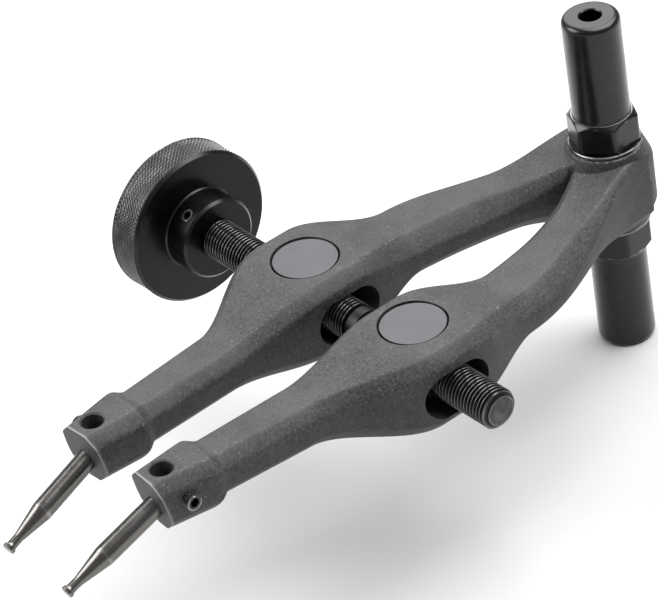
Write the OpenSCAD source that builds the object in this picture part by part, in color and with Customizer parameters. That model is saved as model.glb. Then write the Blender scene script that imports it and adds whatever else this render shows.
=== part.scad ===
// Circlip pliers: two forged arms on a lap hinge, spread by a screw with a left and a right hand end
// The hinge runs along Z, the tips point to -X and the knob is on +Y; all sizes are in mm and degrees

/* [Arms] */
// Distance from the hinge to the barrel nuts, along the tool
nut_reach = 110; // [104:1:120]
// Distance from the middle of the tool to a barrel nut
nut_offset = 27.7; // [27.5:0.1:33]
// Distance from the hinge to the crossing of the holes in a jaw
jaw_reach = 207.2; // [196:0.1:226]
// Distance from the middle of the tool to the crossing of the holes in a jaw
jaw_offset = 18.3; // [16:0.1:24]
// Distance from the middle of the tool to the outer side of a limb beside the hinge
root_out = 16.6; // [15:0.1:20]
// Width of the limb between the hinge and the boss
rear_limb_w = 27.6; // [22:0.2:30]
// Width of the limb where it leaves the boss
front_limb_w = 20.8; // [18:0.2:24]
// Width of the limb where it meets the jaw
front_limb_end_w = 18.2; // [16:0.2:20]
// Thickness of both limbs
limb_h = 18; // [15:0.5:21]
// Wall of the boss beside the barrel nut
boss_wall = 8.7; // [7:0.1:11]
// Distance from the barrel nut outwards to the middle of the boss
boss_shift = 1.2; // [0:0.1:2]
// Thickness of the boss
boss_h = 31.2; // [28:0.2:36]
// Length of the boss over which it keeps its full size
boss_len = 12; // [6:1:16]
// Width of the jaw at its shoulder
jaw_w = 22.2; // [20.4:0.2:24]
// Width of the jaw at its end
jaw_end_w = 14.8; // [13:0.2:20]
// Thickness of the jaw
jaw_h = 21.2; // [19:0.2:26]
// Distance from the end face of a jaw to the crossing of its holes
jaw_nose = 5.3; // [5:0.1:10]
// Lean of the end face of a jaw
jaw_lean = 10; // [0:0.5:20]
// Length of each leg of the bevel along the upper edges of the forging
edge_leg = 4.5; // [2:0.1:5]
// Leg of the bevel along the upper edges of the rear limb
rear_edge_leg = 6.6; // [2:0.1:7]
// Length of each leg of the bevel along the lower edges of the forging
low_edge_leg = 6.5; // [2:0.1:7]
// Bulge of the bevel, where 1 is flat and 2 is round
edge_bulge = 1.3; // [1:0.05:2]
// Height of the ridge left along the parting line of the forging
parting = 0.4; // [0.2:0.1:0.8]

/* [Forging runs] */
// Distance from the hinge at which the knuckle has thinned to the limb
hinge_thin = 34; // [28:1:44]
// Length by which a limb runs back past the hinge along the knuckle
hinge_back = 5; // [4:0.5:8]
// Turn of the faces that part the limbs in front of the knuckles
crotch_turn = 3; // [2.6:0.1:4]
// Distance from the hinge at which the outer side of the rear limb has bowed out
bow_reach = 72; // [66:1:90]
// Distance from the hinge at which the eye between the rear limbs starts
eye_start = 17; // [16.6:0.1:19]
// Length over which the eye between the rear limbs widens
eye_len = 70; // [60:1:80]
// Fullness of the end of the eye, where 1 is a plain wave and less is blunter
eye_shape = 0.8; // [0.6:0.05:1]
// Length over which the rear limb swells into the boss
swell_rear = 34; // [26:1:40]
// Length over which the boss runs out into the front limb
swell_front = 40; // [30:1:46]
// Distance from the shoulder of the jaw to the crossing of its holes
shoulder_back = 12.5; // [9:0.5:16]
// Length of the shoulder
shoulder_len = 5; // [3:0.5:8]

/* [Hinge] */
// Diameter of the knuckles on the parting line
knuckle_d = 31.4; // [28:0.1:36]
// Thickness of both knuckles together
knuckle_h = 30.6; // [26:0.2:36]
// Diameter of the flat face of a knuckle
knuckle_flat = 25.8; // [25.4:0.2:28]
// Height of the bevel round a knuckle
knuckle_bevel = 6.8; // [2:0.1:8]
// Draft that narrows a knuckle from the parting line to its bevel
knuckle_draft = 0.3; // [0.1:0.1:0.8]
// Diameter of the hinge pin in the knuckles
pin_d = 14; // [12:0.5:17]
// Diameter of the ends of the hinge pin in the handles
stud_d = 12; // [9:0.5:13]
// Length of each end of the hinge pin in a handle
stud_len = 13; // [8:0.5:18]
// Diameter of a washer
washer_d = 25.4; // [24:0.2:27]
// Thickness of a washer
washer_h = 1.2; // [0.8:0.1:2]

/* [Handles] */
// Diameter of a handle
grip_d = 20; // [17:0.5:22]
// Length of a handle above its collar
grip_len = 38.2; // [30:0.2:60]
// Radius on the end of a handle
grip_round = 1.5; // [0.5:0.1:3]
// Diameter of the collar
collar_d = 24.8; // [23.6:0.1:26]
// Width of the collar across its flats
collar_flats = 22; // [21:0.1:23]
// Height of the collar
collar_h = 11; // [8:0.5:14]
// Chamfer on the upper edge of the collar
collar_chamfer = 1.7; // [0.4:0.1:2]
// Turn of the flats from the line of the tool
collar_turn = 37; // [0:1:60]
// Diameter of the hole in the end of a handle
end_bore_d = 7.5; // [5:0.1:9]
// Depth of the hole in the end of a handle
end_bore_depth = 16; // [10:0.5:20]

/* [Barrel nuts and spindle] */
// Diameter of a barrel nut
nut_d = 23; // [21:0.5:24.5]
// Recess of a barrel nut below each face of the boss
nut_recess = 0.6; // [0.1:0.1:1]
// Chamfer round the bore of a barrel nut
nut_bore_chamfer = 0.6; // [0.2:0.1:1]
// Diameter of the spindle over the thread
spindle_d = 14; // [12:0.5:15]
// Pitch of the thread
thread_pitch = 1.5; // [1:0.25:2]
// Length of the plain waist between the two threads
waist_len = 4; // [3:0.5:16]
// Distance from the middle of the tool to the free end of the spindle
spindle_free = 68.2; // [62:0.2:90]
// Distance from the knob's outer face to the end of the spindle inside it
spindle_short = 2; // [0.5:0.5:4]
// Length of the slots for the spindle in the boss
slot_len = 26; // [22:0.5:27]
// Height of the slots for the spindle in the boss
slot_h = 16.5; // [15.5:0.1:18]
// Turn of the slots that leaves room for the arms to swing
slot_turn = 3.8; // [2:0.1:6]

/* [Knob] */
// Diameter of the knob
knob_d = 56; // [44:0.5:64]
// Width of the knob's rim
knob_w = 14.2; // [9:0.1:18]
// Chamfer on both edges of the rim
knob_chamfer = 1; // [0.4:0.1:2]
// Distance from the middle of the tool to the knob's inner face
knob_face = 88.6; // [86:0.2:110]
// Diameter of the knob's hub
hub_d = 29.2; // [26:0.2:36]
// Length of the knob's hub
hub_len = 10.7; // [8:0.1:12]
// Chamfer on the end of the hub
hub_chamfer = 0.9; // [0.3:0.1:1.5]
// Depth of the knob's set screw below the side of the hub
knob_screw_sink = 0.6; // [0.3:0.1:1.5]
// Diameter of the knob's set screw
knob_screw_d = 5; // [4:0.5:6]
// Width of the socket in the knob's set screw across its flats
knob_screw_key = 2.5; // [2:0.5:3]
// Turn of the knob's set screw from upright, towards the tips
knob_screw_turn = 33; // [0:1:90]

/* [Tips] */
// Diameter of the shank of a tip
tip_d = 7.2; // [6:0.1:8]
// Slope of a tip downwards
tip_drop = 20.4; // [15:0.2:26]
// Turn of a tip inwards
tip_toe = 3.4; // [0:0.2:6]
// Length of a tip behind the crossing of the holes
tip_tail = 6; // [4:0.5:8]
// Length of the shank ahead of the crossing of the holes
tip_shank = 27.6; // [20:0.2:36]
// Length of the cone
tip_cone = 11.4; // [8:0.2:16]
// Diameter of the nose
nose_d = 3.4; // [2.4:0.1:4]
// Length of the nose
nose_len = 3.3; // [2:0.1:5]
// Diameter of the lip on the end
lip_d = 4.4; // [4.1:0.1:5]
// Length of the lip
lip_len = 2; // [1:0.1:3]
// Diameter of the upright hole in a jaw
jaw_hole_d = 7.6; // [6:0.1:8.2]
// Diameter of the set screw of a tip
tip_screw_d = 6; // [4:0.5:7]
// Width of the socket in the set screw of a tip across its flats
tip_screw_key = 3; // [2:0.5:3.5]
// Length of the set screw of a tip that stands out of the jaw
tip_screw_out = 3.2; // [1:0.1:5]
// Distance of the set screw of a tip behind the crossing of the holes
tip_screw_back = 2; // [0:0.1:3]
// Distance of the set screw of a tip above the crossing of the holes
tip_screw_up = 2; // [0:0.1:3]

/* [Fits] */
// Radial clearance of the turning and sliding fits
run_clear = 0.05; // [0.02:0.01:0.09]
// Radial clearance of the parts that are screwed or clamped
fix_clear = 0.03; // [0.02:0.01:0.06]
// Clearance between faces that slide past each other
face_clear = 0.06; // [0.04:0.01:0.12]
// Clearance between a knuckle and the arc cut for it in the other arm
lap_clear = 0.45; // [0.3:0.05:0.8]

/* [Hidden] */
$fn = 72;
// Length by which a cut runs past the faces that it opens
past = 1;
// Sides of a socket or a collar
hex = 6;
// Steps across each bevelled edge of the forging
edge_steps = 4;
// Steps along each stretch of the forging, from the hinge to the end of the jaw
run_steps = [9, 5, 8, 4, 10, 6, 5, 4];
boss_w = nut_d + 2 * boss_wall;
knuckle_r = knuckle_d / 2;
thread_depth = 0.6134 * thread_pitch;
collar_z = knuckle_h / 2 + face_clear + washer_h;
handle_len = collar_h + grip_len;
mid_z = collar_z + handle_len;
hub_face = knob_face - hub_len;
knob_back = knob_face + knob_w;
spindle_end = knob_back - spindle_short;
tip_len = tip_tail + tip_shank + tip_cone + nose_len + lip_len;
shoulder = jaw_reach - shoulder_back;
root = -hinge_back;
boss_start = nut_reach - boss_len / 2;
boss_end = nut_reach + boss_len / 2;
jaw_end = jaw_reach + jaw_nose + jaw_h / 2;
// Places where one stretch of the forging ends and the next one starts
runs = [
    root, hinge_thin, boss_start - swell_rear, boss_start, boss_end,
    boss_end + swell_front, shoulder - shoulder_len, shoulder, jaw_end
];
far_arm_colour = "#57585a";
near_arm_colour = "#4c4d50";
handle_colour = "#1d1d1f";
washer_colour = "#8d8f92";
pin_colour = "#6d6f72";
nut_colour = "#8a8c8e";
spindle_colour = "#242427";
knob_colour = "#19191b";
screw_colour = "#34353a";
tip_colour = "#5c5753";

// Name of the piece to draw, or all of them

// Share from 0 to 1 that rises smoothly between two places
function ease(start, end, u) = let (s = min(1, max(0, (u - start) / (end - start)))) s * s * (3 - 2 * s);

// Share from 0 to 1 that rises evenly between two places
function ramp(start, end, u) = min(1, max(0, (u - start) / (end - start)));

// Value part of the way from one to another
function mix(a, b, s) = a + (b - a) * s;

// Share of the boss at a distance from the hinge
function boss_share(u) =
    ease(boss_start - swell_rear, boss_start, u) * (1 - ease(boss_end, boss_end + swell_front, u));

// Share of the jaw at a distance from the hinge
function jaw_share(u) = ease(shoulder - shoulder_len, shoulder, u);

// Line of the front limb, which points along the tip
function front_line(u) = jaw_offset + (jaw_reach - u) * tan(tip_toe);

// Outer side of the rear limb: an S-curve
function rear_out(u) = mix(root_out, nut_offset + rear_limb_w / 2, ease(root, bow_reach, u));

// Inner side of the rear limb: a straight run through the knuckle, then a blunted quarter wave
function rear_in(u) =
    u < eye_start
        ? (u - eye_start) / 2
        : (nut_offset - rear_limb_w / 2) * pow(sin(90 * ramp(eye_start, eye_start + eye_len, u)), eye_shape);

// Distance of the middle of the far arm from the middle of the tool
function centre(u) =
    let (
        rear = (rear_out(u) + rear_in(u)) / 2,
        line = mix(rear, front_line(u), ease(boss_end, boss_end + swell_front, u))
    )
    line + boss_shift * boss_share(u);

// Half the thickness of an arm
function half_h(u) =
    let (
        limb = mix(knuckle_h / 2 - face_clear * 4, limb_h / 2, ease(0, hinge_thin, u)),
        boss = mix(limb, boss_h / 2, boss_share(u))
    )
    mix(boss, jaw_h / 2, jaw_share(u));

// Half the width of an arm
function half_w(u) =
    let (
        rear = rear_out(u) - rear_in(u),
        front = mix(front_limb_w, front_limb_end_w, ramp(boss_end + swell_front, shoulder, u)),
        limb = mix(rear, front, ease(boss_start, boss_end, u)),
        boss = mix(limb, boss_w, boss_share(u)),
        jaw = mix(jaw_w, jaw_end_w, ramp(shoulder, jaw_end, u))
    )
    mix(boss, jaw, jaw_share(u)) / 2;

// Leg of the bevel along the upper edges
function upper_leg(u) = mix(rear_edge_leg, edge_leg, ease(boss_start - swell_rear, boss_start, u));

// Cross-section of the far arm: bevelled edges, and sides that rise to a ridge on the parting line
function section(u) =
    let (
        y = centre(u),
        w = half_w(u),
        h = half_h(u),
        power = 2 / edge_bulge
    )
    [
        for (q = [0:3])
            let (
                sy = q == 0 || q == 3 ? 1 : -1,
                sz = q < 2 ? 1 : -1,
                leg = min(q < 2 ? upper_leg(u) : low_edge_leg, 0.8 * w, 0.8 * h),
                ridge = q % 2 == 0 ? [[-u, y + sy * (w + parting), 0]] : []
            )
            each concat(ridge, [
                for (k = [0:edge_steps])
                    let (
                        a = 90 * (q % 2 == 0 ? k : edge_steps - k) / edge_steps,
                        across = w - leg + leg * pow(cos(a), power),
                        up = h - leg + leg * pow(sin(a), power)
                    )
                    [-u, y + sy * across, sz * up]
            ])
    ];

// Distances from the hinge at which the forging is drawn
stations = concat(
    [runs[0]],
    [
        for (i = [0:len(run_steps) - 1])
            for (k = [1:run_steps[i]])
                mix(runs[i], runs[i + 1], k / run_steps[i])
    ]
);

// Skin through the cross-sections, closed at both ends
module forging() {
    ring = len(section(root));
    last = len(stations) - 1;
    points = [for (u = stations) each section(u)];
    sides = [
        for (i = [0:last - 1])
            for (k = [0:ring - 1])
                let (
                    a = i * ring + k,
                    b = i * ring + (k + 1) % ring,
                    c = a + ring,
                    d = b + ring
                )
                each [[a, b, d], [a, d, c]]
    ];
    back = [[for (k = [ring - 1:-1:0]) k]];
    front = [[for (k = [0:ring - 1]) last * ring + k]];
    polyhedron(points = points, faces = concat(sides, back, front), convexity = 6);
}

// Round body of both knuckles, with draft on each side of the parting line and a bevel at each face
module knuckle_body() {
    flat_r = knuckle_flat / 2;
    top_r = knuckle_r - knuckle_draft;
    h = knuckle_h / 2;
    low = h - knuckle_bevel;
    rotate_extrude()
        polygon([
            [0, -h], [flat_r, -h], [top_r, -low], [knuckle_r, 0], [top_r, low], [flat_r, h], [0, h]
        ]);
}

// Space in front of the knuckles that the other limb needs when the arms close
module crotch_cut() {
    rotate([0, 0, -crotch_turn])
        translate([-hinge_thin, -2 * knuckle_d, -knuckle_h])
            cube([hinge_thin + 2 * hinge_back, 2 * knuckle_d, 2 * knuckle_h]);
}

// Places children at the far barrel nut
module at_nut() {
    translate([-nut_reach, nut_offset, 0])
        children();
}

// Places children at the crossing of the holes in the far jaw
module at_jaw() {
    translate([-jaw_reach, jaw_offset, 0])
        children();
}

// Places children at the crossing with Z along the far tip
module along_tip() {
    at_jaw()
        rotate([0, -90 - tip_drop, tip_toe])
            children();
}

// Places children at the crossing with Z along the far set screw, outwards
module along_tip_screw() {
    at_jaw()
        translate([tip_screw_back, 0, tip_screw_up])
            rotate([-90, 0, 0])
                children();
}

// Places children on the spindle with Z along it, towards the knob
module along_spindle() {
    translate([-nut_reach, 0, 0])
        rotate([-90, 0, 0])
            children();
}

// Bore and chamfers for a barrel nut
module nut_cut() {
    bore_r = nut_d / 2 + run_clear;
    cylinder(r = bore_r, h = boss_h + 2 * past, center = true);
    for (side = [0, 1])
        mirror([0, 0, side])
            translate([0, 0, boss_h / 2 - nut_bore_chamfer])
                cylinder(r1 = bore_r, r2 = bore_r + nut_bore_chamfer + past, h = nut_bore_chamfer + past);
}

// Slot through both walls of the boss
module slot_cut() {
    span = slot_len - slot_h;
    rotate([90, 0, slot_turn])
        linear_extrude(height = boss_w + 4 * past, center = true)
            union() {
                square([span, slot_h], center = true);
                translate([-span / 2, 0])
                    circle(d = slot_h);
                translate([span / 2, 0])
                    circle(d = slot_h);
            }
}

// Holes in the far jaw: for the tip, its set screw and an upright tip, and the end face
module jaw_cut() {
    beyond = jaw_h + jaw_w;
    along_tip()
        translate([0, 0, -tip_tail - face_clear])
            cylinder(r = tip_d / 2 + fix_clear, h = tip_tail + tip_shank);
    at_jaw()
        rotate([0, -90 - jaw_lean, tip_toe])
            translate([-beyond, -beyond, jaw_nose * cos(jaw_lean)])
                cube(2 * beyond);
    along_tip_screw()
        cylinder(r = tip_screw_d / 2 + fix_clear, h = jaw_w);
    at_jaw()
        cylinder(d = jaw_hole_d, h = jaw_h + 2 * past, center = true);
}

// Arm on the far side, with its knuckle above the parting line, or below it when lower is 1
module arm(lower) {
    difference() {
        union() {
            difference() {
                forging();
                crotch_cut();
            }
            knuckle_body();
        }
        cylinder(r = pin_d / 2 + run_clear, h = knuckle_h + 2 * past, center = true);
        mirror([0, 0, lower])
            translate([0, 0, -knuckle_h])
                cylinder(r = knuckle_r + lap_clear, h = knuckle_h + face_clear / 2);
        at_nut()
            nut_cut();
        at_nut()
            slot_cut();
        jaw_cut();
    }
}

module far_arm() {
    color(far_arm_colour)
        translate([0, 0, mid_z])
            arm(0);
}

module near_arm() {
    color(near_arm_colour)
        translate([0, 0, mid_z])
            mirror([0, 1, 0])
                arm(1);
}

module hinge_pin() {
    journal = 2 * collar_z;
    color(pin_colour)
        translate([0, 0, mid_z])
            union() {
                cylinder(d = pin_d, h = journal, center = true);
                cylinder(d = stud_d, h = journal + 2 * stud_len, center = true);
            }
}

// Handle standing on its collar, with holes for the hinge pin and in the end
module handle() {
    r = grip_d / 2;
    bore_depth = stud_len + face_clear;
    translate([0, 0, collar_z])
        difference() {
            union() {
                intersection() {
                    rotate_extrude()
                        polygon([
                            [0, 0], [collar_d / 2, 0], [collar_d / 2, collar_h - collar_chamfer],
                            [collar_d / 2 - collar_chamfer, collar_h], [0, collar_h]
                        ]);
                    rotate([0, 0, collar_turn + 180 / hex])
                        cylinder(d = collar_flats / cos(180 / hex), h = collar_h, $fn = hex);
                }
                rotate_extrude()
                    polygon(concat(
                        [[0, 0], [r, 0]],
                        [
                            for (k = [0:edge_steps])
                                let (a = 90 * k / edge_steps)
                                [r - grip_round * (1 - cos(a)), handle_len - grip_round * (1 - sin(a))]
                        ],
                        [[0, handle_len]]
                    ));
            }
            translate([0, 0, -past])
                cylinder(r = stud_d / 2 + fix_clear, h = bore_depth + past);
            translate([0, 0, handle_len - end_bore_depth])
                cylinder(d = end_bore_d, h = end_bore_depth + past);
        }
}

module upper_handle() {
    color(handle_colour)
        translate([0, 0, mid_z])
            handle();
}

module lower_handle() {
    color(handle_colour)
        translate([0, 0, mid_z])
            mirror([0, 0, 1])
                handle();
}

// Washer on top of the knuckles
module washer() {
    translate([0, 0, knuckle_h / 2 + face_clear])
        difference() {
            cylinder(d = washer_d, h = washer_h);
            translate([0, 0, -past])
                cylinder(r = pin_d / 2 + fix_clear, h = washer_h + 2 * past);
        }
}

module upper_washer() {
    color(washer_colour)
        translate([0, 0, mid_z])
            washer();
}

module lower_washer() {
    color(washer_colour)
        translate([0, 0, mid_z])
            mirror([0, 0, 1])
                washer();
}

// Barrel nut with the hole for the spindle across it
module barrel_nut() {
    difference() {
        cylinder(d = nut_d, h = boss_h - 2 * nut_recess, center = true);
        rotate([90, 0, 0])
            cylinder(r = spindle_d / 2 + run_clear, h = nut_d + 2 * past, center = true);
    }
}

module far_barrel_nut() {
    color(nut_colour)
        translate([0, 0, mid_z])
            at_nut()
                barrel_nut();
}

module near_barrel_nut() {
    color(nut_colour)
        translate([0, 0, mid_z])
            mirror([0, 1, 0])
                at_nut()
                    barrel_nut();
}

// Screw with chamfered ends and a groove on each side of the waist
module spindle() {
    r = spindle_d / 2;
    root_r = r - thread_depth;
    groove = 1.5 * thread_pitch;
    waist = waist_len / 2;
    bevel = 2 * thread_depth;
    color(spindle_colour)
        translate([0, 0, mid_z])
            along_spindle()
                rotate_extrude()
                    polygon([
                        [0, -spindle_free], [r - bevel, -spindle_free], [r, -spindle_free + bevel],
                        [r, -waist - groove], [root_r, -waist - groove], [root_r, -waist],
                        [r, -waist], [r, waist],
                        [root_r, waist], [root_r, waist + groove], [r, waist + groove],
                        [r, spindle_end - thread_depth], [root_r, spindle_end], [0, spindle_end]
                    ]);
}

// Places children on the hub with Z along the knob's set screw, outwards
module along_knob_screw() {
    along_spindle()
        translate([0, 0, hub_face + hub_len / 2])
            rotate([0, 0, -knob_screw_turn])
                rotate([90, 0, 0])
                    children();
}

module hand_knob() {
    r = knob_d / 2;
    hub_r = hub_d / 2;
    color(knob_colour)
        translate([0, 0, mid_z])
            difference() {
                along_spindle()
                    rotate_extrude()
                        polygon([
                            [spindle_d / 2 + run_clear, hub_face], [hub_r - hub_chamfer, hub_face],
                            [hub_r, hub_face + hub_chamfer], [hub_r, knob_face], [r - knob_chamfer, knob_face],
                            [r, knob_face + knob_chamfer], [r, knob_back - knob_chamfer],
                            [r - knob_chamfer, knob_back], [spindle_d / 2 + run_clear, knob_back]
                        ]);
                along_knob_screw()
                    cylinder(r = knob_screw_d / 2 + fix_clear, h = hub_d);
            }
}

// Set screw that ends just below the side of the hub and stops short of the spindle
module knob_set_screw() {
    start = spindle_d / 2 + face_clear;
    end = hub_d / 2 - knob_screw_sink;
    color(screw_colour)
        translate([0, 0, mid_z])
            along_knob_screw()
                difference() {
                    translate([0, 0, start])
                        cylinder(d = knob_screw_d, h = end - start);
                    translate([0, 0, end - knob_screw_key])
                        cylinder(d = knob_screw_key / cos(180 / hex), h = knob_screw_key + past, $fn = hex);
                }
}

// Round pin with a cone, a nose and a lip, from its tail to its end
module tip() {
    r = tip_d / 2;
    cone_z = tip_len - tip_cone - nose_len - lip_len;
    nose_z = cone_z + tip_cone;
    lip_z = nose_z + nose_len;
    translate([0, 0, -tip_tail])
        rotate_extrude()
            polygon([
                [0, 0], [r, 0], [r, cone_z], [nose_d / 2, nose_z], [nose_d / 2, lip_z],
                [lip_d / 2, lip_z + lip_len / 4], [lip_d / 2, tip_len], [0, tip_len]
            ]);
}

module far_tip() {
    color(tip_colour)
        translate([0, 0, mid_z])
            along_tip()
                tip();
}

module near_tip() {
    color(tip_colour)
        translate([0, 0, mid_z])
            mirror([0, 1, 0])
                along_tip()
                    tip();
}

// Set screw from the shank of a tip to beyond the side of the jaw
module tip_set_screw() {
    place = tip_screw_back + tip_screw_d / 2;
    start = tip_d / 2 + place * tan(tip_toe) + face_clear;
    end = half_w(jaw_reach) + tip_screw_out;
    along_tip_screw()
        difference() {
            translate([0, 0, start])
                cylinder(d = tip_screw_d, h = end - start);
            translate([0, 0, end - tip_screw_key])
                cylinder(d = tip_screw_key / cos(180 / hex), h = tip_screw_key + past, $fn = hex);
        }
}

module far_tip_set_screw() {
    color(screw_colour)
        translate([0, 0, mid_z])
            tip_set_screw();
}

module near_tip_set_screw() {
    color(screw_colour)
        translate([0, 0, mid_z])
            mirror([0, 1, 0])
                tip_set_screw();
}

far_arm();
near_arm();
hinge_pin();
upper_handle();
lower_handle();
upper_washer();
lower_washer();
far_barrel_nut();
near_barrel_nut();
spindle();
hand_knob();
knob_set_screw();
far_tip();
near_tip();
far_tip_set_screw();
near_tip_set_screw();
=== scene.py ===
"""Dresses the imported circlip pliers: forged arms, turned handles, spindle, knurled knob and pin tips."""

import math

import bpy
import numpy as np
from bpy.props import FloatProperty, FloatVectorProperty, PointerProperty
from mathutils import Matrix, Vector


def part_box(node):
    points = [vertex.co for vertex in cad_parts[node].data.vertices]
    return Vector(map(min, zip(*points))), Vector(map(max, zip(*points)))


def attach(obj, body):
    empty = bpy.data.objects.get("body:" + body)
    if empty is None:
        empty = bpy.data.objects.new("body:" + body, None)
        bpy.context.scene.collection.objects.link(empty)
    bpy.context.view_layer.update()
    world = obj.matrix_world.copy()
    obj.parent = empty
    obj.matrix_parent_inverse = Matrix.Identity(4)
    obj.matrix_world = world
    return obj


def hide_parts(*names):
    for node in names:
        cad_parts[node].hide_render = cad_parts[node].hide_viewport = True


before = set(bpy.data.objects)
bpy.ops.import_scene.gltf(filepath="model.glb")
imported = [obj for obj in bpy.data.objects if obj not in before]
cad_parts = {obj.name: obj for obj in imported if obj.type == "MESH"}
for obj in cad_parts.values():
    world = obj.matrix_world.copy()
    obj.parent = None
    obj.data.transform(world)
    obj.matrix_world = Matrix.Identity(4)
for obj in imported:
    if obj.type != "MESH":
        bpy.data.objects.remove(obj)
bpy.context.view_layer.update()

bl_info = {
    "name": "Circlip pliers",
    "version": (1, 0, 0),
    "blender": (4, 5, 0),
    "location": "View3D > Sidebar > Pliers",
    "description": "Builds the finished surfaces of a pair of screw-driven circlip pliers",
    "category": "Object",
}

MM = 0.001
HEX_SIDES = 6
# Slack for comparing lengths, in metres
SLACK = 1e-7
# Share of its radius at which one face closes a flat round end
POLE = 0.02
# Depth of an external metric thread as a share of its pitch, and mesh rows along each pitch
THREAD_SHARE = 0.6134
THREAD_ROWS = 12
# Name, place and aim seen from the camera's target in metres, width in metres and power in watts
LIGHTS = (
    ("overhead", (0.62, -0.16, 1.38), (0, 0, 0), 1.6, 50),
    ("side", (-0.75, 0.62, 0.7), (-0.3, 0.25, 0), 0.8, 14),
    ("sheen", (0.62, 0.93, 0.85), (0, 0, 0), 0.9, 8),
)


def middle_of(node):
    """Middle of a CAD node's box, in metres."""
    low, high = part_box(node)
    return np.array((low + high) / 2)


def extent_of(node):
    """Length of a CAD node's box along each axis, in metres."""
    low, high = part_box(node)
    return np.array(high - low)


FAR_NUT = middle_of("far_barrel_nut")
MID_Z = float(FAR_NUT[2])
HANDLE_BOX = extent_of("upper_handle")
SPINDLE_LOW, SPINDLE_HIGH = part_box("spindle")
KNOB_LOW, KNOB_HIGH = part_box("hand_knob")


def length(name, description, default):
    """A property for a length, with its default given in millimetres."""
    return FloatProperty(name=name, description=description, default=default * MM, min=0, unit="LENGTH")


def angle(name, description, default):
    """A property for an angle, with its default given in degrees."""
    return FloatProperty(name=name, description=description, default=math.radians(default), unit="ROTATION")


def factor(name, description, default):
    """A property for a plain number."""
    return FloatProperty(name=name, description=description, default=default)


def linear(hex_colour):
    """Linear red, green and blue of an sRGB hex colour."""
    parts = np.array([int(hex_colour[i:i + 2], 16) / 255 for i in (1, 3, 5)])
    return tuple(np.where(parts <= 0.04045, parts / 12.92, ((parts + 0.055) / 1.055) ** 2.4))


def colour(name, description, hex_colour):
    """A property for a colour, with its default given as an sRGB hex value."""
    return FloatVectorProperty(
        name=name, description=description, default=linear(hex_colour), subtype="COLOR", size=3, min=0, max=1
    )


class ArmSizes(bpy.types.PropertyGroup):
    """Sizes of one forged arm, measured from the hinge"""

    nut_reach: length("Nut reach", "From the hinge to the barrel nuts along the tool", -FAR_NUT[0] / MM)
    nut_offset: length("Nut offset", "From the middle of the tool to a barrel nut", FAR_NUT[1] / MM)
    jaw_reach: length("Jaw reach", "From the hinge to the crossing of the holes in a jaw", 207.2)
    jaw_offset: length("Jaw offset", "From the middle of the tool to where the holes in a jaw cross", 18.3)
    root_out: length("Root", "From the middle of the tool to the outer side of a limb beside the hinge", 16.6)
    rear_limb_w: length("Rear limb width", "Width of the limb between hinge and boss", 27.6)
    front_limb_w: length("Front limb width", "Width of the limb where it leaves the boss", 20.8)
    front_limb_end_w: length("Front limb end width", "Width of the limb where it meets the jaw", 18.2)
    limb_h: length("Limb thickness", "Thickness of both limbs", 18)
    boss_w: length("Boss width", "Width of the boss round the barrel nut", 40.4)
    boss_shift: length("Boss shift", "From the barrel nut outwards to the middle of the boss", 1.2)
    boss_h: length("Boss thickness", "Thickness of the boss", 31.2)
    boss_len: length("Boss length", "Length over which the boss keeps its full size", 12)
    jaw_w: length("Jaw width", "Width of the jaw at its shoulder", 22.2)
    jaw_end_w: length("Jaw end width", "Width of the jaw at its end", 14.8)
    jaw_h: length("Jaw thickness", "Thickness of the jaw", 21.2)
    jaw_nose: length("Jaw nose", "From the crossing of the holes to the end face", 5.3)
    jaw_lean: angle("Jaw lean", "Lean of the end face", 10)
    edge_leg: length("Upper bevel", "Leg of the bevel along the upper edges", 4.5)
    rear_edge_leg: length("Rear upper bevel", "Leg of the bevel along the upper edges of the rear limb", 6.6)
    hinge_edge_leg: length("Hinge upper bevel", "Leg of the bevel along the upper edges at the hinge", 1.5)
    hinge_edge_len: length("Hinge bevel length", "From the hinge to where the bevel has its full leg", 50)
    low_edge_leg: length("Lower bevel", "Leg of the bevel along the lower edges", 6.5)
    edge_bulge: factor("Bevel bulge", "1 is a flat bevel and 2 a round one", 1.12)
    parting: length("Parting ridge", "Height of the ridge along the parting line", 0.4)
    hinge_thin: length("Hinge thin", "From the hinge to where the knuckle has thinned to the limb", 34)
    hinge_back: length("Hinge back", "Length by which a limb runs back past the hinge", 5)
    crotch_turn: angle("Crotch turn", "Turn of the faces that part the limbs before the knuckles", 3)
    bow_reach: length("Bow reach", "From the hinge to where the rear limb has bowed out", 72)
    eye_start: length("Eye start", "From the hinge to the eye between the rear limbs", 17)
    eye_len: length("Eye length", "Length over which the eye widens", 70)
    eye_shape: factor("Eye shape", "1 is a plain wave and less is blunter", 0.8)
    swell_rear: length("Rear swell", "Length over which the rear limb swells into the boss", 34)
    swell_front: length("Front swell", "Length over which the boss runs out into the front limb", 40)
    shoulder_back: length("Shoulder back", "From the crossing of the holes back to the shoulder", 12.5)
    shoulder_len: length("Shoulder length", "Length of the shoulder", 5)
    knuckle_d: length("Knuckle diameter", "Diameter of the knuckles", 31.4)
    knuckle_h: length("Knuckle thickness", "Thickness of both knuckles together", 30.6)
    knuckle_flat: length("Knuckle flat", "Diameter of the flat face of a knuckle", 25.8)
    knuckle_bevel: length("Knuckle bevel", "Height of the bevel round a knuckle", 6.8)
    slot_len: length("Slot length", "Length of the slots for the spindle", 26)
    slot_h: length("Slot height", "Height of the slots for the spindle", 16.5)
    slot_turn: angle("Slot turn", "Turn of the slots that leaves room for the swing", 3.8)
    jaw_hole_d: length("Jaw hole", "Diameter of the upright hole in a jaw", 7.6)
    lip_chamfer: length("Hole chamfer", "Chamfer round the mouth of the upright hole in a jaw", 0.5)
    grain: length("Forging grain", "Spacing of the forging's mesh", 0.65)


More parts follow.
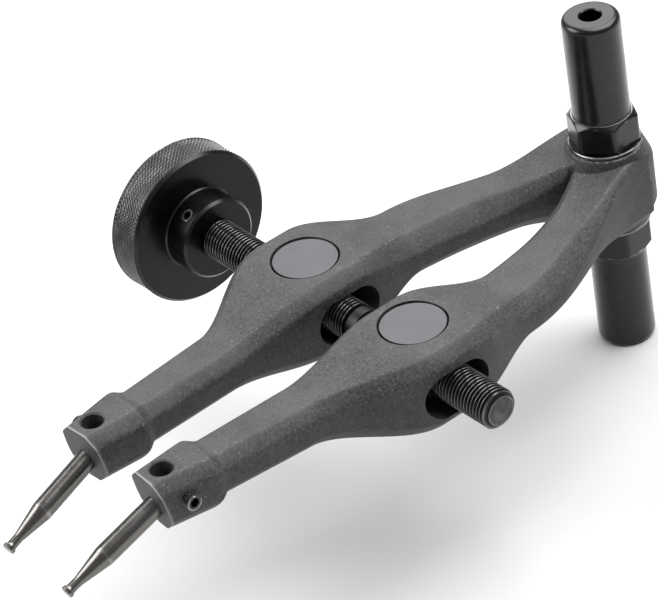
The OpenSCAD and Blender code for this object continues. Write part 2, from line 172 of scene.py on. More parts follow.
class TurnedSizes(bpy.types.PropertyGroup):
    """Sizes of the pin, handles, washers, nuts, spindle and knob"""

    pin_d: length("Pin diameter", "Diameter of the hinge pin in the knuckles", 14)
    stud_d: length("Stud diameter", "Diameter of the hinge pin in the handles", 12)
    stud_len: length("Stud length", "Length of the hinge pin in a handle", 13)
    washer_d: length("Washer diameter", "Diameter of a washer", 25.4)
    washer_h: length("Washer thickness", "Thickness of a washer", 1.2)
    grip_d: length("Handle diameter", "Diameter of a handle", 20)
    grip_round: length("Handle round", "Radius on the end of a handle", 2.2)
    collar_d: length("Collar diameter", "Diameter of the collar over its corners", 24.8)
    collar_flats: length("Collar flats", "Width of the collar across its flats", 22)
    collar_h: length("Collar height", "Height of the collar", 11)
    collar_chamfer: length("Collar chamfer", "Height of the chamfer on the collar", 1.7)
    collar_turn: angle("Collar turn", "Turn of the flats from the line of the tool", 37)
    end_bore_d: length("End hole", "Diameter of the hole in the end of a handle", 7.5)
    end_bore_depth: length("End hole depth", "Depth of the hole in the end of a handle", 16)
    nut_d: length("Nut diameter", "Diameter of a barrel nut", 23)
    nut_mouth: length("Nut mouth", "Widening of the bore round the end of a barrel nut", 0.3)
    nut_step: length("Nut step", "Step on the edge of a barrel nut", 0.5)
    nut_step_h: length("Nut step height", "Height of the step on a barrel nut", 2.5)
    nut_recess: length("Nut recess", "Recess of a barrel nut below the face of the boss", 0.45)
    spindle_d: length("Spindle diameter", "Diameter of the spindle over its thread", 14)
    thread_pitch: length("Spindle pitch", "Pitch of the spindle's thread", 1.5)
    waist_len: length("Waist", "Length of the plain waist between the two threads", 4)
    relief_len: length("Thread relief", "Width of the groove between the waist and each thread", 0.9)
    knob_w: length("Rim width", "Width of the knob's rim", 14.2)
    knob_chamfer: length("Rim chamfer", "Chamfer on the edges of the rim", 1)
    hub_d: length("Hub diameter", "Diameter of the knob's hub", 29.2)
    hub_chamfer: length("Hub chamfer", "Chamfer on the end of the hub", 0.9)
    knurl_pitch: length("Knurl pitch", "Spacing of the knurl round the rim", 1.5)
    knurl_depth: length("Knurl depth", "Depth of the knurl's grooves", 0.42)
    run_clear: length("Running clearance", "Clearance of the turning fits", 0.05)


class ScrewSizes(bpy.types.PropertyGroup):
    """Sizes of the tips and of the three set screws"""

    tip_d: length("Tip diameter", "Diameter of the shank of a tip", 7.2)
    tip_drop: angle("Tip drop", "Slope of a tip downwards", 20.4)
    tip_toe: angle("Tip toe", "Turn of a tip inwards", 3.4)
    tip_tail: length("Tip tail", "Length of a tip behind the crossing of the holes", 6)
    tip_shank: length("Tip shank", "Length of the shank ahead of the crossing", 27.6)
    tip_cone: length("Tip cone", "Length of the cone", 11.4)
    nose_d: length("Nose diameter", "Diameter of the nose", 3.4)
    nose_len: length("Nose length", "Length of the nose", 3.3)
    lip_d: length("Lip diameter", "Diameter of the lip on the end", 4.4)
    lip_len: length("Lip length", "Length of the lip", 2)
    tip_screw_d: length("Tip screw diameter", "Diameter of the set screw of a tip", 6)
    tip_screw_pitch: length("Tip screw pitch", "Pitch of the set screw of a tip", 1)
    tip_screw_key: length("Tip screw key", "Socket of the set screw of a tip across its flats", 3)
    tip_screw_back: length("Tip screw back", "From the crossing of the holes back to the set screw", 2)
    tip_screw_up: length("Tip screw up", "From the crossing of the holes up to the set screw", 2)
    knob_screw_d: length("Knob screw diameter", "Diameter of the knob's set screw", 5)
    knob_screw_pitch: length("Knob screw pitch", "Pitch of the knob's set screw", 0.8)
    knob_screw_key: length("Knob screw key", "Socket of the knob's set screw across its flats", 2.5)
    knob_screw_turn: angle("Knob screw turn", "Turn of the knob's set screw from upright to the tips", 33)
    knob_screw_sink: length("Knob screw sink", "Depth of the set screw below the side of the hub", 0.6)
    fix_clear: length("Fixed clearance", "Clearance of the screwed and clamped fits", 0.03)


class Finishes(bpy.types.PropertyGroup):
    """Colours of the steel pieces, and of the floor"""

    forging: colour("Forging", "Phosphated forging", "#444445")
    forging_dark: colour("Forging dark", "Pits of the phosphate coat", "#29292a")
    oxide: colour("Black oxide", "Black oxide on turned steel", "#2e2e30")
    # Also the colour of the painted highlights along the jaws' end faces and on the washers' rims
    bare: colour("Bare steel", "Steel where the oxide has worn off", "#9c9b99")
    crest: colour("Crests", "Rubbed crests and end of the spindle", "#7d7c7b")
    thread: colour("Thread", "Rolled thread", "#323232")
    nut: colour("Nut", "Turned nut faces", "#58595b")
    screw: colour("Set screw", "Set screws, with their oxide rubbed thin", "#4c4c4c")
    tip: colour("Tip", "Hardened and polished tips", "#757371")
    floor: colour("Floor", "Plain pale floor", "#c6c6c5")


def ease(start, end, u):
    """Share from 0 to 1 that rises smoothly between two places: s squared times (3 - 2 s)."""
    s = np.clip((u - start) / (end - start), 0, 1)
    return s * s * (3 - 2 * s)


def ramp(start, end, u):
    """Share from 0 to 1 that rises evenly between two places."""
    return np.clip((u - start) / (end - start), 0, 1)


def mix(a, b, s):
    """Value a share of the way from a to b."""
    return a + (b - a) * s


def soft_min(a, b, blend):
    """Lesser of two values, with the corner rounded over the length of the blend."""
    return 0.5 * (a + b - np.sqrt((a - b) ** 2 + blend ** 2))


def hex_reach(turn, flats):
    """Distance from the middle of a hexagon to its side in a direction: half the flats over a cosine."""
    side = 2 * np.pi / HEX_SIDES
    return flats / 2 / np.cos((turn + side / 2) % side - side / 2)


def turns(count):
    """Angles of the columns of a closed ring."""
    return np.linspace(0, 2 * np.pi, count, endpoint=False)


def skin(grid, loop=False):
    """Vertices and faces of a grid of closed rings: quads between neighbours, and a face on each open end."""
    rows, columns = grid.shape[:2]
    row = np.arange(rows if loop else rows - 1)[:, None]
    column = np.arange(columns)[None, :]
    after, beside = (row + 1) % rows, (column + 1) % columns
    quads = np.stack(
        [
            row * columns + column,
            row * columns + beside,
            after * columns + beside,
            after * columns + column,
        ],
        axis=-1,
    ).reshape(-1, 4)
    vertices = grid.reshape(-1, 3)
    a, b, c, d = (vertices[quads[:, k]] for k in range(4))
    reach = np.einsum("ij,ij->", a, np.cross(b, c)) + np.einsum("ij,ij->", a, np.cross(c, d))
    ends = []
    if not loop:
        first = np.arange(columns)[::-1]
        last = np.arange(columns) + (rows - 1) * columns
        ends = [first, last]
        for ring in ends:
            p = vertices[ring]
            fan = np.cross(p[1:-1] - p[0], p[2:] - p[0]).sum(0)
            reach += p[0] @ fan
    if reach < 0:
        quads = quads[:, ::-1]
        ends = [ring[::-1] for ring in ends]
    return vertices, quads.tolist() + [ring.tolist() for ring in ends]


def mesh_of(name, grid, loop=False):
    """A mesh from a grid of rings, with its faces turned outwards by the sign of the volume they enclose."""
    vertices, faces = skin(grid, loop)
    mesh = bpy.data.meshes.new(name)
    mesh.from_pydata(vertices.tolist(), [], faces)
    return mesh


def lathe(profile, columns, shape=None):
    """Turns a profile of (radius, height) rows about Z; shape may change the radii for each direction."""
    profile = np.asarray(profile, float)
    turn = turns(columns)
    radius = np.repeat(profile[:, :1], columns, axis=1)
    height = np.repeat(profile[:, 1:2], columns, axis=1)
    if shape is not None:
        radius = shape(radius, height, turn[None, :])
    return np.stack([radius * np.cos(turn), radius * np.sin(turn), height], axis=-1)


def placed(grid, origin, axis, upright=(1, 0, 0)):
    """Moves a grid so that its Z lies along the axis, with its X towards upright."""
    z = np.asarray(axis, float) / np.linalg.norm(axis)
    x = np.asarray(upright, float) - z * np.dot(upright, z)
    x /= np.linalg.norm(x)
    y = np.cross(z, x)
    return grid[..., :1] * x + grid[..., 1:2] * y + grid[..., 2:] * z + np.asarray(origin, float)


def rows_between(start, end, count):
    """Rows of a profile from one (radius, height) point to another, without the last one."""
    share = np.linspace(0, 1, count, endpoint=False)[:, None]
    return np.asarray(start) + (np.asarray(end) - np.asarray(start)) * share


def outline(*points, last=True):
    """Profile through points given as (radius, height, rows up to the next point)."""
    parts = [rows_between(a[:2], b[:2], a[2] if len(a) > 2 else 1) for a, b in zip(points, points[1:])]
    return np.vstack(parts + ([np.array([points[-1][:2]])] if last else []))


def carve(blank, tools, operation="DIFFERENCE"):
    """Joins or cuts a blank with tool meshes through Boolean modifiers, and returns the finished mesh."""
    scene = bpy.context.scene
    work = bpy.data.objects.new("work", blank)
    scene.collection.objects.link(work)
    helpers = []
    for tool in tools:
        helper = bpy.data.objects.new("tool", tool)
        scene.collection.objects.link(helper)
        helpers.append(helper)
        cut = work.modifiers.new("cut", "BOOLEAN")
        cut.operation = operation
        cut.solver = "MANIFOLD"
        cut.object = helper
    return baked(work, helpers)


def baked(work, helpers=()):
    """Mesh of a work object with its modifiers applied; the work object and its helpers are removed."""
    graph = bpy.context.evaluated_depsgraph_get()
    made = bpy.data.meshes.new_from_object(work.evaluated_get(graph))
    for used in (work, *helpers):
        spent = used.data
        bpy.data.objects.remove(used)
        bpy.data.meshes.remove(spent)
    return made


def smoothed(mesh, degrees=32):
    """Shades a mesh smooth, with edges sharper than the angle kept crisp."""
    mesh.shade_smooth()
    mesh.set_sharp_from_angle(angle=math.radians(degrees))
    return mesh


def pulled(items, name, width=1, kind=np.float32):
    """One property of all vertices, edges, corners or faces of a mesh, as an array with a row for each."""
    values = np.empty(len(items) * width, kind)
    items.foreach_get(name, values)
    return values.reshape(-1, width) if width > 1 else values


def store(mesh, name, values, domain="POINT"):
    """Keeps a value for each vertex or corner as an attribute that a material can read."""
    mesh.attributes.new(name, "FLOAT", domain).data.foreach_set("value", values.astype(np.float32))


def mark_turning(mesh, origin, axis, bright=(), crest=None, plain=0.0):
    """Stores the radius and height of each vertex about its turning axis in mm, and how bare it is.

    A bright ring is (radius, height, width, share), rubbed wear and on the washers' rims a painted highlight:
    its share holds up to half the width away and is gone at one and a half. Crests grow bare from the first
    to the second radius, where the height is past plain.
    """
    offset = pulled(mesh.vertices, "co", 3) - np.asarray(origin, float)
    axis = np.asarray(axis, float) / np.linalg.norm(axis)
    height = offset @ axis
    radius = np.linalg.norm(offset - height[:, None] * axis, axis=1)
    bare = np.zeros(len(radius)) if crest is None else ramp(*crest, radius) * (np.abs(height) > plain)
    for ring_radius, ring_height, width, share in bright:
        apart = np.hypot(radius - ring_radius, height - ring_height) / width
        bare = np.maximum(bare, share * (1 - ramp(0.5, 1.5, apart)))
    store(mesh, "turn_radius", radius / MM)
    store(mesh, "turn_height", height / MM)
    store(mesh, "bare", bare)


def mark_convex(mesh, grain, low=0.03, high=0.1):
    """Stores how convex each place is: its height over the mean of its neighbours, in shares of the grain."""
    points = pulled(mesh.vertices, "co", 3)
    facing = pulled(mesh.vertices, "normal", 3)
    ends = pulled(mesh.edges, "vertices", 2, np.int32)
    total = np.zeros((len(points), 3))
    for a, b in ((0, 1), (1, 0)):
        np.add.at(total, ends[:, a], points[ends[:, b]])
    mean = total / np.bincount(ends.ravel(), minlength=len(points))[:, None]
    height = np.einsum("ij,ij->i", points - mean, facing) / grain
    store(mesh, "edge", ramp(low, high, height))


def mark_edge_highlight(mesh, start, normal, width=0.8 * MM, most=0.8, aligned=0.99):
    """Stores a painted highlight, as a share of bare colour per corner: most along a ground face's edge, less
    beside it.
    """
    share = 1 - ramp(0, width, np.abs((pulled(mesh.vertices, "co", 3) - start) @ normal))
    corner = pulled(mesh.loops, "vertex_index", kind=np.int32)
    count = pulled(mesh.polygons, "loop_total", kind=np.int32)
    ground = np.repeat(pulled(mesh.polygons, "normal", 3) @ normal > aligned, count)
    store(mesh, "bare", np.where(ground, 0, most * share[corner]), "CORNER")


def piece(name, mesh, body, node, material):
    """Shows a mesh as a piece that rides on a body and stands for a CAD node."""
    mesh.name = name
    mesh.materials.clear()
    mesh.materials.append(material)
    shown = bpy.data.objects.new(name, mesh)
    bpy.context.scene.collection.objects.link(shown)
    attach(shown, body)
    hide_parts(node)
    return shown


def add(tree, kind, inputs=None, **settings):
    """Adds a node, sets its properties, and fills its sockets with values or with other nodes' outputs."""
    made = tree.nodes.new(kind)
    for key, value in settings.items():
        setattr(made, key, value)
    for key, value in (inputs or {}).items():
        if isinstance(value, bpy.types.NodeSocket):
            tree.links.new(value, made.inputs[key])
        else:
            made.inputs[key].default_value = value
    return made


def blank_material(name):
    """A new material with an empty node tree, and its output node."""
    made = bpy.data.materials.new(name)
    made.use_nodes = True
    made.node_tree.nodes.clear()
    return made, made.node_tree, add(made.node_tree, "ShaderNodeOutputMaterial")


def rgba(property_colour):
    """A property's colour with full cover, for a shader socket."""
    return (*property_colour, 1.0)


def per_mm(size_mm):
    """Scale of a pattern whose marks are this many millimetres apart, in a frame of metres."""
    return 1 / (size_mm * MM)


# Phosphated drop forging: dull grey coat, blasted grit, cloudy patches, rubbed speckled edges, painted
# highlight on jaw edges
def forging_material(finish):
    made, tree, out = blank_material("phosphated forged steel")
    place = add(tree, "ShaderNodeTexCoord").outputs["Object"]
    # bare is the painted highlight along the edges of each jaw's end face, drawn in the bare colour
    bare, edge = (
        add(tree, "ShaderNodeAttribute", attribute_name=kept).outputs["Fac"] for kept in ("bare", "edge")
    )
    cloud = add(
        tree, "ShaderNodeTexNoise", {"Vector": place, "Scale": per_mm(9), "Detail": 3.0, "Roughness": 0.55}
    ).outputs["Fac"]
    # Real grit is about 0.2 mm and is drawn at 0.9 mm so that it shows
    grit = add(
        tree, "ShaderNodeTexNoise", {"Vector": place, "Scale": per_mm(0.9), "Detail": 2.0, "Roughness": 0.7}
    ).outputs["Fac"]
    share = add(tree, "ShaderNodeMath", {0: cloud, 1: 0.35, 2: grit}, operation="MULTIPLY_ADD")
    tone = add(tree, "ShaderNodeValToRGB", {"Fac": share.outputs[0]})
    dark, light = tone.color_ramp.elements
    dark.position, dark.color = 0.51, rgba(finish.forging_dark)
    light.position, light.color = 0.79, rgba(finish.forging)
    rough = add(
        tree,
        "ShaderNodeMapRange",
        {"Value": grit, "From Min": 0.3, "From Max": 0.7, "To Min": 0.5, "To Max": 0.68},
    )
    dents = add(tree, "ShaderNodeBump", {"Strength": 0.12, "Distance": 0.4 * MM, "Height": cloud})
    pits = add(
        tree,
        "ShaderNodeBump",
        {"Strength": 0.3, "Distance": 0.12 * MM, "Height": grit, "Normal": dents.outputs["Normal"]},
    )
    rub = add(tree, "ShaderNodeMath", {0: edge, 1: 0.16, 2: grit}, operation="MULTIPLY_ADD")
    specks = add(
        tree,
        "ShaderNodeMapRange",
        {"Value": rub.outputs[0], "From Min": 0.66, "From Max": 0.8, "To Max": 0.5},
    )
    scuffed = add(
        tree,
        "ShaderNodeMix",
        {"Factor": specks.outputs["Result"], "A": tone.outputs["Color"], "B": rgba(finish.bare)},
        data_type="RGBA",
    )
    base = add(
        tree,
        "ShaderNodeMix",
        {"Factor": bare, "A": scuffed.outputs["Result"], "B": rgba(finish.bare)},
        data_type="RGBA",
    )
    shader = add(
        tree,
        "ShaderNodeBsdfPrincipled",
        {
            "Base Color": base.outputs["Result"],
            "Metallic": 0.25,
            "Roughness": rough.outputs["Result"],
            "Normal": pits.outputs["Normal"],
        },
    )
    tree.links.new(shader.outputs["BSDF"], out.inputs["Surface"])
    return made


# Turned steel: fine rings from the lathe, a stained film, bare bright metal on worn edges, and painted
# highlights on washer rims
def turned_material(
    name, tone, worn, rough, ring_mm=0.5, ring_depth=0.02, oil=0.0, stain=0.82, patchy=0.9
):
    made, tree, out = blank_material(name)
    radius, height, bare = (
        add(tree, "ShaderNodeAttribute", attribute_name=kept).outputs["Fac"]
        for kept in ("turn_radius", "turn_height", "bare")
    )
    place = add(tree, "ShaderNodeTexCoord").outputs["Object"]
    along = add(tree, "ShaderNodeMath", {0: radius, 1: height}, operation="ADD").outputs[0]
    rings = add(
        tree, "ShaderNodeTexNoise", {"W": along, "Scale": 1 / ring_mm, "Detail": 2.0}, noise_dimensions="1D"
    ).outputs["Fac"]
    film = add(
        tree, "ShaderNodeTexNoise", {"Vector": place, "Scale": per_mm(6), "Detail": 4.0, "Roughness": 0.6}
    ).outputs["Fac"]
    wear = add(tree, "ShaderNodeMath", {0: film, 1: patchy, 2: bare}, operation="MULTIPLY_ADD")
    worn_share = add(
        tree,
        "ShaderNodeMapRange",
        {"Value": wear.outputs[0], "From Min": 0.9, "From Max": 1.35},
        interpolation_type="SMOOTHSTEP",
    )
    deep = tuple(stain * v for v in tone)
    coat = add(
        tree, "ShaderNodeMix", {"Factor": film, "A": rgba(deep), "B": rgba(tone)}, data_type="RGBA"
    )
    base = add(
        tree,
        "ShaderNodeMix",
        {"Factor": worn_share.outputs["Result"], "A": coat.outputs["Result"], "B": rgba(worn)},
        data_type="RGBA",
    )
    gloss = add(
        tree,
        "ShaderNodeMapRange",
        {"Value": film, "From Min": 0.3, "From Max": 0.7, "To Min": rough - 0.05, "To Max": rough + 0.07},
    )
    lines = add(tree, "ShaderNodeBump", {"Strength": 0.35, "Distance": ring_depth * MM, "Height": rings})
    shader = add(
        tree,
        "ShaderNodeBsdfPrincipled",
        {
            "Base Color": base.outputs["Result"],
            "Metallic": 1.0,
            "Roughness": gloss.outputs["Result"],
            "Normal": lines.outputs["Normal"],
            "Coat Weight": oil,
            "Coat Roughness": 0.22,
        },
    )
    tree.links.new(shader.outputs["BSDF"], out.inputs["Surface"])
    return made


# Studio paper: an even pale sheet with a faint fibre
def floor_material(finish):
    made, tree, out = blank_material("pale studio paper")
    place = add(tree, "ShaderNodeTexCoord").outputs["Object"]
    fibre = add(tree, "ShaderNodeTexNoise", {"Vector": place, "Scale": per_mm(1.2), "Detail": 2.0})
    relief = add(
        tree, "ShaderNodeBump", {"Strength": 0.05, "Distance": 0.05 * MM, "Height": fibre.outputs["Fac"]}
    )
    shader = add(
        tree,
        "ShaderNodeBsdfPrincipled",
        {"Base Color": rgba(finish.floor), "Roughness": 0.9, "Normal": relief.outputs["Normal"]},
    )
    tree.links.new(shader.outputs["BSDF"], out.inputs["Surface"])
    return made


def boss_share(a, u):
    """Share of the boss at distances from the hinge: one ease up to the boss, times one away from it."""
    start, end = a.nut_reach - a.boss_len / 2, a.nut_reach + a.boss_len / 2
    return ease(start - a.swell_rear, start, u) * (1 - ease(end, end + a.swell_front, u))


def jaw_share(a, u):
    """Share of the jaw: an ease over the length of the shoulder."""
    shoulder = a.jaw_reach - a.shoulder_back
    return ease(shoulder - a.shoulder_len, shoulder, u)


def rear_sides(a, u):
    """Sides of the rear limb: an S-curve outside, and inside a straight run up to a blunted quarter wave."""
    outer = mix(a.root_out, a.nut_offset + a.rear_limb_w / 2, ease(-a.hinge_back, a.bow_reach, u))
    wave = np.sin(np.pi / 2 * ramp(a.eye_start, a.eye_start + a.eye_len, u)) ** a.eye_shape
    inner = np.where(u < a.eye_start, (u - a.eye_start) / 2, (a.nut_offset - a.rear_limb_w / 2) * wave)
    return outer, inner


def arm_line(a, toe, u):
    """Middle, half width and half thickness of the far arm: limbs, boss and jaw mixed by their shares."""
    end = a.nut_reach + a.boss_len / 2
    shoulder = a.jaw_reach - a.shoulder_back
    nose = a.jaw_reach + a.jaw_nose + a.jaw_h / 2
    outer, inner = rear_sides(a, u)
    boss, jaw = boss_share(a, u), jaw_share(a, u)
    front_line = a.jaw_offset + (a.jaw_reach - u) * math.tan(toe)
    centre = mix((outer + inner) / 2, front_line, ease(end, end + a.swell_front, u)) + a.boss_shift * boss
    front = mix(a.front_limb_w, a.front_limb_end_w, ramp(end + a.swell_front, shoulder, u))
    limb = mix(outer - inner, front, ease(end - a.boss_len, end, u))
    width = mix(mix(limb, a.boss_w, boss), mix(a.jaw_w, a.jaw_end_w, ramp(shoulder, nose, u)), jaw)
    thick = mix(a.knuckle_h, a.limb_h, ease(0, a.hinge_thin, u))
    thick = mix(mix(thick, a.boss_h, boss), a.jaw_h, jaw)
    return centre, width / 2, thick / 2


def arm_grid(a, toe, side, rows=320, corner_rows=14, most=0.8):
    """Rings of an arm: flats joined by bevels, the cosine and sine of a quarter turn raised to 2 / bulge.

    A bevel takes at most the share most of the half width and of the half thickness.
    """
    nose = a.jaw_reach + a.jaw_nose + a.jaw_h / 2
    u = np.linspace(-a.hinge_back, nose, rows)[:, None]
    centre, half_w, half_h = arm_line(a, toe, u)
    quarter = np.linspace(0, np.pi / 2, corner_rows)[None, :]
    power = 2 / a.edge_bulge
    across = np.abs(np.cos(quarter)) ** power
    up = np.abs(np.sin(quarter)) ** power
    rings = []
    boss_start = a.nut_reach - a.boss_len / 2
    rear_leg = mix(a.hinge_edge_leg, a.rear_edge_leg, ease(0, a.hinge_edge_len, u))
    upper_leg = mix(rear_leg, a.edge_leg, ease(boss_start - a.swell_rear, boss_start, u))
    for corner, (sy, sz) in enumerate(((1, 1), (-1, 1), (-1, -1), (1, -1))):
        leg = np.minimum(upper_leg if sz > 0 else a.low_edge_leg, most * np.minimum(half_w, half_h))
        y = centre + sy * (half_w - leg + leg * across)
        z = sz * (half_h - leg + leg * up)
        if corner % 2 == 0:
            rings += [centre + sy * (half_w + a.parting), np.zeros_like(u), y, z]
        else:
            rings += [y[:, ::-1], z[:, ::-1]]
    y = np.hstack(rings[0::2])
    z = np.hstack(rings[1::2])
    return np.stack([np.broadcast_to(-u, y.shape), side * y, MID_Z + z], axis=-1)


def rod(radius, reach, origin, axis, columns=96, flare=0.0, upright=(1, 0, 0)):
    """A plain cutter: a cylinder from the origin along the axis, wider by the flare at its far end."""
    profile = [(radius, 0), (radius + flare, reach)]
    return mesh_of("rod", placed(lathe(profile, columns), origin, axis, upright))


def block(points):
    """A cutter with eight corners: four on one end, then the four that face them."""
    return mesh_of("block", np.asarray(points, float).reshape(2, 4, 3))


def stadium_cut(a, side, columns=48):
    """A slot through the boss: half circles joined by straight sides, carried along a turned line."""
    span = (a.slot_len - a.slot_h) / 2
    turn = turns(columns)
    along = a.slot_h / 2 * np.cos(turn) + span * np.sign(np.round(np.cos(turn), 9))
    up = a.slot_h / 2 * np.sin(turn)
    c, s = math.cos(a.slot_turn), math.sin(a.slot_turn)
    reach = np.array([-a.boss_w, a.boss_w])[:, None]
    x = along * c - reach * s
    y = along * s + reach * c
    z = np.broadcast_to(MID_Z + up, x.shape)
    return mesh_of("slot", np.stack([x - a.nut_reach, side * (y + a.nut_offset), z], axis=-1))


def tip_axis(s, side):
    """Direction of a tip: towards the jaws' end, sloping down by the drop and turned inwards by the toe."""
    flat = math.cos(s.tip_drop)
    return np.array(
        [-flat * math.cos(s.tip_toe), -side * flat * math.sin(s.tip_toe), -math.sin(s.tip_drop)]
    )


def jaw_crossing(a, side):
    """Place where the holes in a jaw cross."""
    return np.array([-a.jaw_reach, side * a.jaw_offset, MID_Z])


def jaw_face(a, toe, side):
    """Point on the end face of a jaw, and the direction it faces."""
    flat = math.cos(a.jaw_lean)
    normal = np.array([-flat * math.cos(toe), -side * flat * math.sin(toe), -math.sin(a.jaw_lean)])
    return jaw_crossing(a, side) + normal * a.jaw_nose * flat, normal


def jaw_face_cut(a, toe, side):
    """Cutter for the end face of a jaw: a block that stands on the face."""
    start, normal = jaw_face(a, toe, side)
    square = 2 * a.jaw_w * np.array([[-1, -1, 0], [1, -1, 0], [1, 1, 0], [-1, 1, 0]])
    grid = np.stack([square, square + np.array([0, 0, 2 * a.jaw_h])])
    return mesh_of("face", placed(grid, start, normal))


def crotch_cut(a, side):
    """Cutter for the room that the other limb needs: a block with one face through the hinge."""
    back, front, deep = 2 * a.hinge_back, -a.hinge_thin, -2 * a.knuckle_d
    flat = np.array([[back, 0], [front, 0], [front, deep], [back, deep]])
    c, s = math.cos(-a.crotch_turn), math.sin(-a.crotch_turn)
    x = flat[:, 0] * c - flat[:, 1] * s
    y = side * (flat[:, 0] * s + flat[:, 1] * c)
    low, high = MID_Z - a.knuckle_h, MID_Z + a.knuckle_h
    return block([np.stack([x, y, np.full(4, z)], axis=-1) for z in (low, high)])


def knuckle_grid(a, columns=160):
    """Round body of both knuckles: a straight side between two bevels."""
    r, flat, h = a.knuckle_d / 2, a.knuckle_flat / 2, a.knuckle_h / 2
    low = h - a.knuckle_bevel
    pole = flat * POLE
    profile = outline((pole, -h, 4), (flat, -h), (r, -low), (r, low), (flat, h, 4), (pole, h))
    return placed(lathe(profile, columns), (0, 0, MID_Z), (0, 0, 1))


def forged_blank(a, toe, side, soften=0.5, passes=2):
    """Limb and knuckle in one skin: an even mesh of the forging's grain, softened in a few passes."""
    limb = carve(mesh_of("limb", arm_grid(a, toe, side)), [crotch_cut(a, side)])
    joined = carve(limb, [mesh_of("knuckle", knuckle_grid(a))], "UNION")
    work = bpy.data.objects.new("forging", joined)
    bpy.context.scene.collection.objects.link(work)
    even = work.modifiers.new("even", "REMESH")
    even.mode = "VOXEL"
    even.voxel_size = a.grain
    soft = work.modifiers.new("soft", "SMOOTH")
    soft.factor = soften
    soft.iterations = passes
    mesh = baked(work)
    mark_convex(mesh, a.grain)
    return mesh


def arm_cuts(a, t, s, side, past=2 * MM, lap_gap=0.8 * MM, half_gap=0.03 * MM):
    """Cutters for the machined places of an arm: end face, hinge bore, lap, nut bore, slot and jaw holes.

    They run past the surfaces that they break. The lap is wider than the knuckle by the lap gap, and each
    knuckle ends half a gap before the middle.
    """
    cross = jaw_crossing(a, side)
    axis = tip_axis(s, side)
    nut = np.array([-a.nut_reach, side * a.nut_offset, MID_Z])
    screw = cross + np.array([s.tip_screw_back, 0, s.tip_screw_up])
    up = np.array([0, 0, 1.0])
    bore_r, hole_r = t.nut_d / 2 + t.run_clear, a.jaw_hole_d / 2
    flare = a.lip_chamfer + past
    top = a.boss_h / 2 + past
    cuts = [
        jaw_face_cut(a, s.tip_toe, side),
        rod(t.pin_d / 2 + t.run_clear, 2 * a.knuckle_h, (0, 0, MID_Z - a.knuckle_h), up),
        rod(a.knuckle_d / 2 + lap_gap, a.knuckle_h, (0, 0, MID_Z + side * half_gap), -side * up, 192),
        rod(bore_r, 2 * top, nut - up * top, up, 160),
        stadium_cut(a, side),
        rod(s.tip_d / 2 + s.fix_clear, s.tip_tail + s.tip_shank, cross - axis * s.tip_tail, axis),
        rod(s.tip_screw_d / 2 + s.fix_clear, a.jaw_w, screw, (0, side, 0), 72),
        rod(hole_r, a.jaw_h, cross, up, 72),
    ]
    mouths = [
        rod(bore_r + t.nut_mouth, top, nut + way * (a.boss_h / 2 - t.nut_step_h), way, 160)
        for way in (up, -up)
    ]
    lip = rod(hole_r, flare, cross + up * (a.jaw_h / 2 - a.lip_chamfer), up, 72, flare)
    return cuts + mouths + [lip]


class PLIERS_OT_arms(bpy.types.Operator):
    """Both forged arms, with their machined bores, slots and jaws"""

    bl_idname = "pliers.arms"
    bl_label = "Forged arms"

    def execute(self, context):
        scene = context.scene
        a, t, s = scene.plier_arms, scene.plier_turned, scene.plier_screws
        finish = forging_material(scene.plier_finishes)
        for name, side in (("far_arm", 1), ("near_arm", -1)):
            mesh = carve(forged_blank(a, s.tip_toe, side), arm_cuts(a, t, s, side))
            if "edge" not in mesh.attributes:
                raise RuntimeError("The cuts lost the attribute of the worn edges")
            # Painted highlight: a band of bare colour along the edges of the jaw's end face
            mark_edge_highlight(mesh, *jaw_face(a, s.tip_toe, side))
            piece(name + "_forging", smoothed(mesh), name, name, finish)
        return {"FINISHED"}


def handle_grid(t, columns=240, lip=0.4 * MM, corner=0.25 * MM, bend_rows=9):
    """Handle with a six-sided collar: a turned profile whose collar is held inside a soft-cornered hexagon.

    A quarter circle rounds its end, and the lip breaks the small edges.
    """
    collar_r, grip_r = t.collar_d / 2, t.grip_d / 2
    bore_r, stud_r = t.end_bore_d / 2, t.stud_d / 2 + t.run_clear
    tall = HANDLE_BOX[2]
    sunk = tall - t.end_bore_depth
    c = t.collar_chamfer
    bend = np.linspace(0, np.pi / 2, bend_rows)[:, None]
    round_end = np.hstack(
        [grip_r - t.grip_round * (1 - np.cos(bend)), tall - t.grip_round * (1 - np.sin(bend))]
    )
    foot = outline(
        (stud_r * POLE, t.stud_len, 4), (stud_r, t.stud_len, 2), (stud_r, 0, 6), (collar_r - lip, 0),
        (collar_r, lip, 10), (collar_r, t.collar_h - c, 12), (collar_r - c, t.collar_h, 4),
        (grip_r + lip / 2, t.collar_h), (grip_r, t.collar_h + lip, 24), (grip_r, tall - t.grip_round),
        last=False,
    )
    end = outline(
        (grip_r - t.grip_round, tall, 6), (bore_r + lip, tall), (bore_r, tall - lip, 4), (bore_r, sunk, 3),
        (bore_r * POLE, sunk),
    )

    def hold(radius, height, turn):
        """Radius held inside the hexagon, over the height of the collar."""
        inside = (height < t.collar_h + lip / 2) & (radius > stud_r + lip)
        held = soft_min(radius, hex_reach(turn, t.collar_flats), corner)
        return np.where(inside, held, radius)

    return lathe(np.vstack([foot, round_end, end]), columns, hold)


